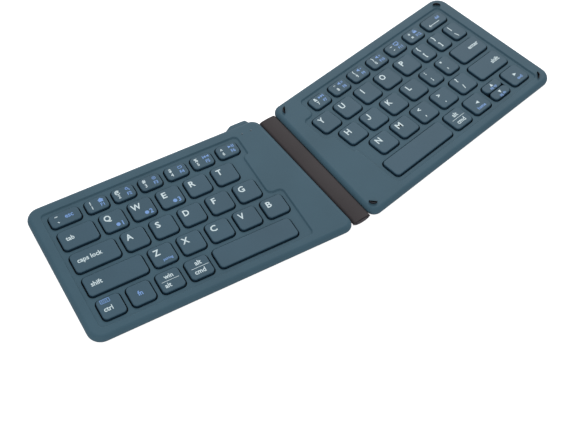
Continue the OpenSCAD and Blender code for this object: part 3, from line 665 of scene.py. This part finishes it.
# %% [markdown]
# ## The hinge's cover, the lights and the bumpers
# A strip of elastomer covers the spine and reaches close to the walls of both halves: its
# section is a low crown that runs tangent into a circle round each pin, so the halves' walls
# don't close on it as they turn. At each knuckle the arm of a leaf has to swing up through the
# strip, so a short barrel of it, with the same line, turns with the half. Two domed lenses
# close the light guides, and the four bumpers are crescents of black rubber.

# %% hinge strip
PIN_X, PIN_Z, STRIP_R, CROWN, STRIP_LEN = 4.1, 3.2, 1.88, 2.15, 94.5
STRIP_LOW = -0.55                 # lower edge of the cover beside a pin, from the pin's level
STRIP_T = 0.26                    # how thick the cover is
BARREL_Y, BARREL_HALF = 34.0, 4.3  # middle and half length of the part that turns with a half
BARREL_END = math.radians(86)     # the turning part reaches this far over its pin
BARREL_SEAM, CROWN_SEAM = 0.03, 0.01   # round a barrel, and at the ends of the crown over it
END_ROUND, END_SHRINK = 0.35, 0.95     # the strip's ends: their length, and how much is left
BIG_R = (PIN_X ** 2 / (CROWN - STRIP_R) + CROWN + STRIP_R) / 2


def crown_z(x, inset=0.0):
    "height of the crown above the pins"
    return CROWN - BIG_R + math.sqrt((BIG_R - inset) ** 2 - x * x)


def pin_arc(start, end, radius, side=1, count=12):
    "points round one pin, from an angle to another"
    turns = [start + (end - start) * i / count for i in range(count + 1)]
    return [(side * (PIN_X + radius * math.cos(a)), radius * math.sin(a)) for a in turns]


def whole_line(inset):
    "the cover's line from its left lower edge over the crown to the right one"
    radius = STRIP_R - inset
    lean = math.asin(PIN_X / (BIG_R - STRIP_R))
    low = math.asin(STRIP_LOW / radius)
    right = pin_arc(low, math.pi / 2 - lean, radius)
    tangent = right[-1][0]
    middle = [(tangent * i / 8, crown_z(tangent * i / 8, inset)) for i in range(7, -8, -1)]
    return right + middle + [(-x, z) for x, z in reversed(right)]


def shell_along(bm, outer, inner, stations):
    "a closed shell between two lines, through stations along the strip"
    loops = []
    for y, shrink in stations:
        # an end is drawn in by its height, and by a quarter as much across
        points = [(x * (0.75 + 0.25 * shrink), z * shrink) for x, z in outer] + inner[::-1]
        loops.append([bm.verts.new((x, y - MIDDLE_Y, PIN_Z + z)) for x, z in points])
    for near, far in zip(loops, loops[1:]):
        join_loops(bm, near, far)
    for loop in (loops[0], loops[-1]):
        for i in range(len(outer) - 1):
            j = len(loop) - 1 - i
            bm.faces.new((loop[i], loop[i + 1], loop[j - 1], loop[j]))


def finish_strip(name, bm, body, replaced=()):
    "a stretch of the strip, already in the keyboard's own frame"
    settle(name, bm)
    finish_piece(name, bm, None, [strip_rubber], body, replaced)


def hinge_cover():
    bm = bmesh.new()
    end, low, high = STRIP_LEN / 2, BARREL_Y - BARREL_HALF, BARREL_Y + BARREL_HALF
    lines = whole_line(0), whole_line(STRIP_T)
    shell_along(bm, *lines, [(-end, END_SHRINK), (END_ROUND - end, 1.0), (-high, 1.0)])
    shell_along(bm, *lines, [(-low, 1.0), (low, 1.0)])
    shell_along(bm, *lines, [(high, 1.0), (end - END_ROUND, 1.0), (end, END_SHRINK)])
    # between the turning parts only the crown is left, thinned so that they pass below it
    reach = PIN_X + STRIP_R * math.cos(BARREL_END) - BARREL_SEAM
    clear = STRIP_R + BARREL_SEAM
    xs = [reach * i / 10 for i in range(10, -11, -1)]
    outer = [(x, crown_z(x)) for x in xs]
    inner = [(x, max(crown_z(x, STRIP_T),
                     math.sqrt(max(clear ** 2 - (PIN_X - abs(x)) ** 2, 0)))) for x in xs]
    for y0, y1 in ((-high, -low), (low, high)):
        shell_along(bm, outer, inner, [(y0 + CROWN_SEAM, 1.0), (y1 - CROWN_SEAM, 1.0)])
    finish_strip("hinge_strip_cover", bm, "spine", ["hinge_strip"])


def hinge_barrels(name, side, body):
    "the stretches of the strip that turn about their pin with one half"
    bm = bmesh.new()
    start = math.asin(STRIP_LOW / STRIP_R)
    lines = [pin_arc(start, BARREL_END, r, side) for r in (STRIP_R, STRIP_R - STRIP_T)]
    half = BARREL_HALF - BARREL_SEAM
    for middle in (-BARREL_Y, BARREL_Y):
        shell_along(bm, *lines, [(middle - half, 1.0), (middle + half, 1.0)])
    finish_strip(name, bm, body)


hinge_cover()
hinge_barrels("left_hinge_barrels", LEFT, "left_half")
hinge_barrels("right_hinge_barrels", RIGHT, "right_half")

# %% light guides
LENS_R, LENS_V, LENS_U, LENS_STEP = 0.55, 42.1, 19.77, 6.0
# the dome's rings: share of the radius, and height above the rim
LENS_RINGS = ((1.0, -0.3), (1.0, 0.0), (0.8, 0.03), (0.4, 0.05))


def lens(bm, u):
    "a small smoked button over a light guide, with a domed top just above the case"
    turns = [i * math.tau / 20 for i in range(20)]
    rings = [[bm.verts.new((LEFT * u + LENS_R * share * math.cos(a),
                            LENS_V + LENS_R * share * math.sin(a), Z_RIM + rise))
              for a in turns] for share, rise in LENS_RINGS]
    for near, far in zip(rings, rings[1:]):
        join_loops(bm, near, far)
    bm.faces.new(rings[0])
    bm.faces.new(rings[-1])


bm = bmesh.new()
for i in range(2):
    lens(bm, LENS_U + i * LENS_STEP)
settle("lenses", bm)
finish_piece("light_guide_lenses", bm, LEFT, [smoked_lens], "left_half")

# %% bumpers
BUMPER_R, BUMPER_W, BUMPER_LOW, BUMPER_HIGH = 2.9, 0.62, 6.0, 7.9
BUMPER_SPAN = 62                  # degrees to each side of its middle
LID_IN, LID_DROP = 0.1, 0.12      # the soft upper edge
# where each crescent's middle lies in the half's plan, and the way it points, in degrees
BUMPERS = [((157.4, 44.3), 45.0), ((16.7, 44.2), 141.5), ((5.6, -44.2), 221.5),
           ((157.5, -44.3), 315.0)]


def bumper(bm, at, turn):
    "a crescent between two arcs that meet in its tips, with a soft upper edge"
    count = 14
    outer = [math.radians(turn + BUMPER_SPAN * (2 * i / count - 1)) for i in range(count + 1)]
    points = [(math.cos(a), math.sin(a)) for a in outer]
    lean = (math.cos(math.radians(turn)), math.sin(math.radians(turn)))
    depth = BUMPER_W / BUMPER_R
    middle = 1.0 - 0.5 * depth
    tip = math.cos(math.radians(BUMPER_SPAN))
    line = []
    for x, y in points:
        shift = depth * max(0.0, x * lean[0] + y * lean[1] - tip) / (1 - tip)
        line.append((x - lean[0] * shift, y - lean[1] * shift))
    verts = [bm.verts.new((at[0] + BUMPER_R * (x - middle * lean[0]),
                           at[1] + BUMPER_R * (y - middle * lean[1]), BUMPER_LOW))
             for x, y in points + line[-2:0:-1]]
    made = raise_face(bm, face_up(bm, verts), BUMPER_HIGH - BUMPER_LOW)
    top = [g for g in made if isinstance(g, bmesh.types.BMVert)]
    lid = [g for g in made if isinstance(g, bmesh.types.BMFace)]
    bmesh.ops.inset_region(bm, faces=lid, thickness=LID_IN, depth=0.0, use_even_offset=False)
    rim = {v for f in lid for v in f.verts}
    for vert in top:
        if vert not in rim:
            vert.co.z -= LID_DROP


bm = bmesh.new()
for at, turn in BUMPERS:
    bumper(bm, at, turn)
settle("bumpers", bm)
finish_piece("corner_bumper_pads", bm, RIGHT, [black_rubber], "right_half",
             ["corner_bumpers"])

# %% [markdown]
# ## Key caps and their legends
# A cap is a rounded rectangle pulled up from its skirt, with a small round edge on top. The
# legends are text turned into thin solids of ink, a few hundredths of a millimetre proud. White
# ink carries the characters; light blue ink carries the second functions, as small plain marks.

# %% printing tools
INK_T, INK_LIFT = 0.03, 0.002
BOLDNESS = {"sign": 0.055, "letter": 0.033, "word": 0.028}   # as shares of the height
CAP_SHARE = 0.70                 # height of a capital as a share of the font's size
WORD_H = 3.1                     # height given to most words
CAP_GAP, CAP_R, CAP_EDGE = 0.74, 2.45, 0.6
# a cap's finishes after its paint: white ink, blue ink, and the painted shade on its steep sides
WHITE, BLUE, SHADED_SIDES = 1, 2, 3


def ink_solid(mesh_or_polygons):
    "a small bmesh of ink, as lettering's mesh or as bars and other flat shapes made thick"
    ink = bmesh.new()
    if isinstance(mesh_or_polygons, bpy.types.Mesh):
        ink.from_mesh(mesh_or_polygons)
    else:
        for polygon in mesh_or_polygons:
            face = ink.faces.new([ink.verts.new((x, y, 0)) for x, y in polygon])
            raise_face(ink, face, INK_T)
        bmesh.ops.recalc_face_normals(ink, faces=ink.faces)
    return ink


def lettering(text, height):
    "text as a thin solid, with capitals as high as asked"
    kind = "sign" if not text[0].isalnum() else "letter" if len(text) == 1 else "word"
    curve = bpy.data.curves.new("ink", "FONT")
    curve.body = text
    curve.size = height / CAP_SHARE
    curve.extrude = INK_T / 2
    curve.resolution_u = 2
    curve.offset = BOLDNESS[kind] * height
    holder = bpy.data.objects.new("ink", curve)
    mesh = bpy.data.meshes.new_from_object(holder)
    bpy.data.objects.remove(holder)
    bpy.data.curves.remove(curve)
    return mesh


def stroke(x0, y0, x1, y1, width):
    "a bar from point to point"
    along = Vector((x1 - x0, y1 - y0)).normalized() * width / 2
    side_x, side_y = -along.y, along.x
    return [(x0 + side_x, y0 + side_y), (x0 - side_x, y0 - side_y),
            (x1 - side_x, y1 - side_y), (x1 + side_x, y1 + side_y)]


def arc(x, y, radius, start, end, width, count=8):
    "small bars along part of a circle, from one angle in degrees to another"
    turns = [math.radians(start + (end - start) * i / count) for i in range(count + 1)]
    at = [(x + radius * math.cos(a), y + radius * math.sin(a)) for a in turns]
    return [stroke(*a, *b, width) for a, b in zip(at, at[1:])]


def ring(x, y, radius, width, count=10):
    "a closed band of small bars round a point"
    return arc(x, y, radius, 0, 360, width, count)


def frame_of(x0, y0, x1, y1, width):
    return [stroke(x0, y0, x1, y0, width), stroke(x1, y0, x1, y1, width),
            stroke(x1, y1, x0, y1, width), stroke(x0, y1, x0, y0, width)]


def upright(x):
    "the bar beside an arrowhead"
    return stroke(x, -0.8, x, 0.8, 0.35)


def triangle(x, y, size, turn):
    "a solid arrowhead pointing along an angle in degrees"
    corners = [(math.radians(turn + a), r) for a, r in ((0, 0.6), (130, 0.62), (230, 0.62))]
    return [(x + size * math.cos(a) * r, y + size * math.sin(a) * r) for a, r in corners]


# %% the marks of the second functions
# each is drawn round (0, 0), and made as large as the height given with it
SPEAKER = [[(-1.5, -0.35), (-0.9, -0.35), (-0.2, -1.0), (-0.2, 1.0), (-0.9, 0.35), (-1.5, 0.35)]]
MARKS = {
    # the letter J with the wide hook that stands on the line
    "hooked_j": [stroke(0.22, 0.5, 0.22, -0.23, 0.2)] + arc(-0.04, -0.23, 0.26, 0, -165, 0.2),
    "dot": [[(1.25 * math.cos(i * math.tau / 16), 1.25 * math.sin(i * math.tau / 16))
             for i in range(16)]],
    "house": [[(-1.0, -1.0), (1.0, -1.0), (1.0, 0.1), (-1.0, 0.1)],
              [(-1.4, 0.1), (1.4, 0.1), (0, 1.2)]],
    "search": ring(-0.15, 0.15, 0.45, 0.62) + [stroke(0.25, -0.25, 0.95, -0.95, 0.42)],
    "target": ring(0, 0, 0.75, 0.3) + ring(0, 0, 0.2, 0.42, 6),
    "window": frame_of(-0.8, -0.6, 0.8, 0.6, 0.26),
    "previous": [upright(-1.5), triangle(-0.6, 0, 1.4, 180), triangle(0.8, 0, 1.4, 180)],
    "play": [triangle(-0.7, 0, 1.5, 0), upright(0.5), upright(1.2)],
    "next": [triangle(-0.8, 0, 1.4, 0), triangle(0.6, 0, 1.4, 0), upright(1.5)],
    "mute": SPEAKER + [stroke(0.4, -0.5, 1.4, 0.5, 0.3), stroke(0.4, 0.5, 1.4, -0.5, 0.3)],
    "softer": SPEAKER + [stroke(0.4, 0, 1.4, 0, 0.32)],
    "louder": SPEAKER + [stroke(0.4, 0, 1.4, 0, 0.32), stroke(0.9, -0.5, 0.9, 0.5, 0.32)],
    "screen": frame_of(-1.2, -0.6, 1.2, 0.9, 0.35) + [stroke(-0.7, -1.1, 0.7, -1.1, 0.35)],
    "lock": [[(-1.0, -1.0), (1.0, -1.0), (1.0, 0.2), (-1.0, 0.2)]] + ring(0, 0.3, 0.65, 0.3)[:5],
    "keyboard": frame_of(-2.4, -1.1, 2.4, 1.1, 0.3)
    + [stroke(x, y, x + 0.5, y, 0.4) for x in (-1.8, -0.9, 0.0, 0.9) for y in (-0.35, 0.4)],
    "back": [stroke(-4.4, 0, 4.6, 0, 0.45), stroke(-4.6, 0.05, -3.4, 1.0, 0.45),
             stroke(-4.6, -0.05, -3.4, -1.0, 0.45)],
    "rule": [stroke(-5.3, 0, 5.3, 0, 0.28)],
    "to_left": [triangle(0, 0, 2.5, 180)], "to_right": [triangle(0, 0, 2.5, 0)],
    "to_top": [triangle(0, 0, 2.3, 90)], "to_bottom": [triangle(0, 0, 2.3, 270)],
}
print("marks:", len(MARKS))

# %% what is printed on each key
def white(text, x, y, height=WORD_H):
    "a character or mark in white ink, x and y mm from the opening's left and front sides"
    return (text, x, y, height, WHITE)


def blue(text, x, y, height=WORD_H):
    return (text, x, y, height, BLUE)


LEGENDS = {name: [white(name.upper(), 5.5, 10.9, 4.1)] for name in "qwertasdfgzxcvb"}
LEGENDS.update({name: [white(name.upper(), 6.3, 11.3, 4.1)] for name in "yuiophjklnm"})
LEGENDS["j"] = [white("=hooked_j", 5.9, 11.4, 4.3)]
for name, digit in zip("qwe", "123"):
    LEGENDS[name] += [blue("=dot", 9.6, 4.6, 1.0), blue(digit, 12.4, 4.6)]
LEGENDS["z"].append(blue("pairing", 9.9, 4.6, 1.7))
for name, upper, mark in zip("123456", "!@#$%^", ("house", "search", "target", "window",
                                                   "previous", "play")):
    LEGENDS[name] = [white(upper, 4.6, 8.2, 2.4), white(name, 4.6, 4.9, 2.4),
                     blue("=" + mark, 11.0, 8.3, 1.35), blue("F" + name, 11.0, 4.8, 2.3)]
RIGHT_TOP = (("7", "&", "7", "next"), ("8", "*", "8", "mute"), ("9", "(", "9", "softer"),
             ("0", ")", "0", "louder"), ("minus", "_", "-", "screen"), ("equals", "+", "=", "lock"))
for i, (name, upper, lower, mark) in enumerate(RIGHT_TOP):
    LEGENDS[name] = [white(upper, 6.2, 8.6, 2.4), white(lower, 6.2, 5.3, 2.4),
                     blue("=" + mark, 10.9, 8.6, 1.35), blue("F%d" % (i + 7), 11.3, 4.8, 2.1)]
PAIRS = {"open": ("{", "["), "close": ("}", "]"), "pipe": ("|", "\\"), "colon": (":", ";"),
         "quote": ("\"", "'"), "comma": ("<", ","), "dot": (">", "."), "slash": ("?", "/")}
for name, (upper, lower) in PAIRS.items():
    side_x = 6.7 if name in ("comma", "dot", "slash") else 5.2
    high_y = 11.7 if name in ("comma", "dot", "pipe") else 12.6
    LEGENDS[name] = [white(upper, side_x, high_y, 3.0), white(lower, side_x, high_y - 6.5, 3.0)]
LEGENDS.update({
    "esc": [white("~", 5.75, 8.7, 2.3), white("`", 5.75, 4.4), blue("esc", 13.0, 6.6)],
    "tab": [white("tab", 7.1, 9.0)], "caps": [white("caps lock", 11.7, 9.0)],
    "left_shift": [white("shift", 7.9, 9.0)], "fn": [blue("fn", 7.7, 8.7)],
    "ctrl": [blue("=keyboard", 6.3, 13.1, 1.1), white("ctrl", 6.1, 7.8)],
    "win": [white("win", 8.2, 11.4, 3.0), white("=rule", 8.2, 8.6, 1.0),
            white("alt", 5.6, 5.8, 3.0)],
    "left_alt": [white("alt", 8.8, 11.7), white("=rule", 8.7, 8.6, 1.0), white("cmd", 7.5, 5.9)],
    "right_alt": [white("alt", 9.0, 11.7), white("=rule", 9.2, 8.7, 1.0), white("cmd", 8.6, 5.9)],
    "backspace": [white("=back", 8.9, 4.5, 1.0), blue("del", 14.5, 7.6, 2.3)],
    "enter": [white("enter", 17.8, 9.1)], "right_shift": [white("shift", 20.9, 8.6)],
    "left_arrow": [white("=to_left", 9.0, 8.9, 1.0), blue("home", 8.9, 5.0, 2.3)],
    "right_arrow": [white("=to_right", 9.2, 9.0, 1.0), blue("end", 9.8, 5.3, 2.3)],
    "up_arrow": [white("=to_top", 8.7, 5.8, 1.0), blue("pg up", 8.7, 3.2, 1.9)],
    "down_arrow": [white("=to_bottom", 8.9, 5.4, 1.0), blue("pg dn", 8.9, 2.9, 1.9)],
    "left_space": [], "right_space": []})
print("legends:", sum(len(marks) for marks in LEGENDS.values()))

# %% one key cap
NARROWER = 0.9                   # the legends' letters are a little narrow
WIDER = {"E": 1.2, "F": 1.15, "S": 1.2, "C": 1.1, "G": 1.06, "M": 1.15, "B": 1.12, "R": 1.12,
         "P": 1.12, "U": 1.06}
SHADED_SIDE_SLOPE = 0.25               # faces steeper than this, by their normal's z, take the dark painted shade of the gaps
# where the printing pad sat against the caps of each half
PRINT_SHIFT = {LEFT: (-0.4, -0.9), RIGHT: (-0.7, -1.0)}


def print_on(bm, legend, x, y):
    "adds one legend to a cap whose opening's left front corner is at x, y"
    text, dx, dy, height, ink = legend
    if text.startswith("=") and len(text) > 1:
        solid = ink_solid(MARKS[text[1:]])
        bmesh.ops.scale(solid, verts=solid.verts, vec=(height, height, 1))
        width = 1.0
    else:
        solid = ink_solid(lettering(text, height))
        width = NARROWER * WIDER.get(text, 1.0)
    low, high = ([end(v.co[i] for v in solid.verts) for i in range(3)] for end in (min, max))
    centre = Vector([(a + b) / 2 for a, b in zip(low, high)])
    bmesh.ops.translate(solid, verts=solid.verts, vec=-centre)
    bmesh.ops.scale(solid, verts=solid.verts, vec=(width, 1, 1))
    bmesh.ops.translate(solid, verts=solid.verts, vec=(x + dx, y + dy, Z_CAP + INK_LIFT))
    for face in solid.faces:
        face.material_index = ink
    pour(solid, bm)


def cap(bm, side, rect, name):
    "adds one cap, with its legends, to a mesh"
    u0, v0, u1, v1 = rect
    x0, x1 = sorted((side * u0, side * u1))
    block = bmesh.new()
    face = rounded_face(block, rect_points(x0 + CAP_GAP, v0 + CAP_GAP, x1 - CAP_GAP, v1 - CAP_GAP),
                        [CAP_R] * 4, Z_SKIRT, segments=6)
    raise_face(block, face, Z_CAP - Z_SKIRT)
    rim = [e for e in block.edges if all(abs(v.co.z - Z_CAP) < 1e-6 for v in e.verts)]
    bmesh.ops.bevel(block, geom=rim, offset=CAP_EDGE, affect="EDGES", segments=5, profile=0.5,
                    material=-1)
    bmesh.ops.recalc_face_normals(block, faces=block.faces)
    # the cap's steep sides are painted with the dark shade seen in the gaps
    for face in block.faces:
        if face.normal.z < SHADED_SIDE_SLOPE:
            face.material_index = SHADED_SIDES
    for legend in LEGENDS[name]:
        print_on(block, legend, x0 + PRINT_SHIFT[side][0], v0 + PRINT_SHIFT[side][1])
    pour(block, bm)


# %% [markdown]
# ## Which caps move together
# Every letter has its own part of the model; small keys that belong to one strip share one. So a
# piece holds the caps of one part, replaces that part and rides on the part's body.

# %% pieces of caps
GROUPS = {LEFT: {"key_" + n: [n] for n in "qertasfgzxcvb"},
          RIGHT: {"key_" + n: [n] for n in "yuiophjklnm"}}
GROUPS[LEFT].update({
    "key_w_": ["w"], "key_d_": ["d"], "tab_key": ["tab"], "caps_lock_key": ["caps"],
    "left_shift_key": ["left_shift"], "left_space_bar": ["left_space"],
    "left_number_keys": ["esc", "1", "2", "3", "4", "5", "6"],
    "left_bottom_keys": ["ctrl", "fn", "win", "left_alt"]})
GROUPS[RIGHT].update({
    "right_shift_key": ["right_shift"], "enter_key": ["enter"], "right_space_bar": ["right_space"],
    "right_number_keys": ["7", "8", "9", "0", "minus", "equals", "backspace"],
    "punctuation_keys": ["open", "close", "pipe", "colon", "quote", "comma", "dot", "slash"],
    "right_bottom_keys": ["right_alt", "left_arrow", "up_arrow", "down_arrow", "right_arrow"]})
# two low caps share the opening for up and down, closer together than two openings are
CAP_CELLS = {LEFT: dict(CELLS[LEFT]), RIGHT: dict(CELLS[RIGHT])}
u0, v0, u1, v1 = CELLS[RIGHT]["up_down"]
ARROW_SPLIT, ARROW_OVERLAP = (v0 + v1) / 2, 0.4
CAP_CELLS[RIGHT]["up_arrow"] = (u0, ARROW_SPLIT - ARROW_OVERLAP, u1, v1)
CAP_CELLS[RIGHT]["down_arrow"] = (u0, v0, u1, ARROW_SPLIT + ARROW_OVERLAP)
for side, groups in GROUPS.items():
    for node, names in groups.items():
        bm = bmesh.new()
        for name in names:
            cap(bm, side, CAP_CELLS[side][name], name)
        finish_piece(node.rstrip("_") + "_cap", bm, side,
                     [key_paint, white_ink, blue_ink, gap_painted_shade],
                     node.rstrip("_") + "_body", [node])
print("cap pieces:", sum(len(groups) for groups in GROUPS.values()))

# %% [markdown]
# ## Table, light and background
# A plain pale table takes a faint shadow. It glows a little for the camera only, so that it
# fades into the background without lighting the keyboard. One broad lamp stands behind to the
# right, a weaker one fills from the front left, and the sky is an even pale grey. The camera
# sees the background as plain white.

# %% table
bm = bmesh.new()
bmesh.ops.create_grid(bm, x_segments=2, y_segments=2, size=6.0)
table = new_object("table", as_mesh("table", bm))
white_laminate = bpy.data.materials.new("white_laminate")
tree = empty_tree(white_laminate)
matt = add_node(tree, "BsdfDiffuse", {"Color": (0.85, 0.85, 0.85, 1)})
glow = add_node(tree, "Emission", {"Color": (1, 1, 1, 1), "Strength": 0.84})
seen = add_node(tree, "LightPath").outputs["Is Camera Ray"]
dark = add_node(tree, "Emission", {"Strength": 0.0})
only_seen = add_node(tree, "MixShader",
                     links={"Fac": seen, 1: dark.outputs[0], 2: glow.outputs[0]})
both = add_node(tree, "AddShader", links={0: matt.outputs[0], 1: only_seen.outputs[0]})
add_node(tree, "OutputMaterial", links={"Surface": both.outputs[0]})
table.data.materials.append(white_laminate)

# %% sky
world = bpy.data.worlds.new("studio")
bpy.context.scene.world = world
tree = empty_tree(world)
light_path = add_node(tree, "LightPath")
sharp_rays = add_node(tree, "Math", {"operation": "MAXIMUM"},
                      {0: light_path.outputs["Is Camera Ray"],
                       1: light_path.outputs["Is Transmission Ray"]})
sky = add_node(tree, "Background", {"Color": (0.95, 0.97, 1.0, 1), "Strength": 0.56})
plain = add_node(tree, "Background", {"Color": (1, 1, 1, 1), "Strength": 1.0})
mixed = add_node(tree, "MixShader",
                 links={"Fac": sharp_rays.outputs[0], 1: sky.outputs[0], 2: plain.outputs[0]})
add_node(tree, "OutputWorld", links={"Surface": mixed.outputs[0]})


# %% lamps
def lamp(name, at, size, watts):
    "a square lamp that looks at the keyboard, with its place and size in metres"
    data = bpy.data.lights.new(name, "AREA")
    data.size = size
    data.energy = watts
    obj = new_object(name, data)
    obj.location = at
    obj.rotation_euler = (-Vector(at)).to_track_quat("-Z", "Y").to_euler()


lamp("key_lamp", (4.2, 4.4, 4.3), 2.6, 148.0)
lamp("fill_lamp", (-2.4, -2.0, 2.0), 2.4, 16.0)
bpy.context.scene.view_settings.view_transform = "Standard"
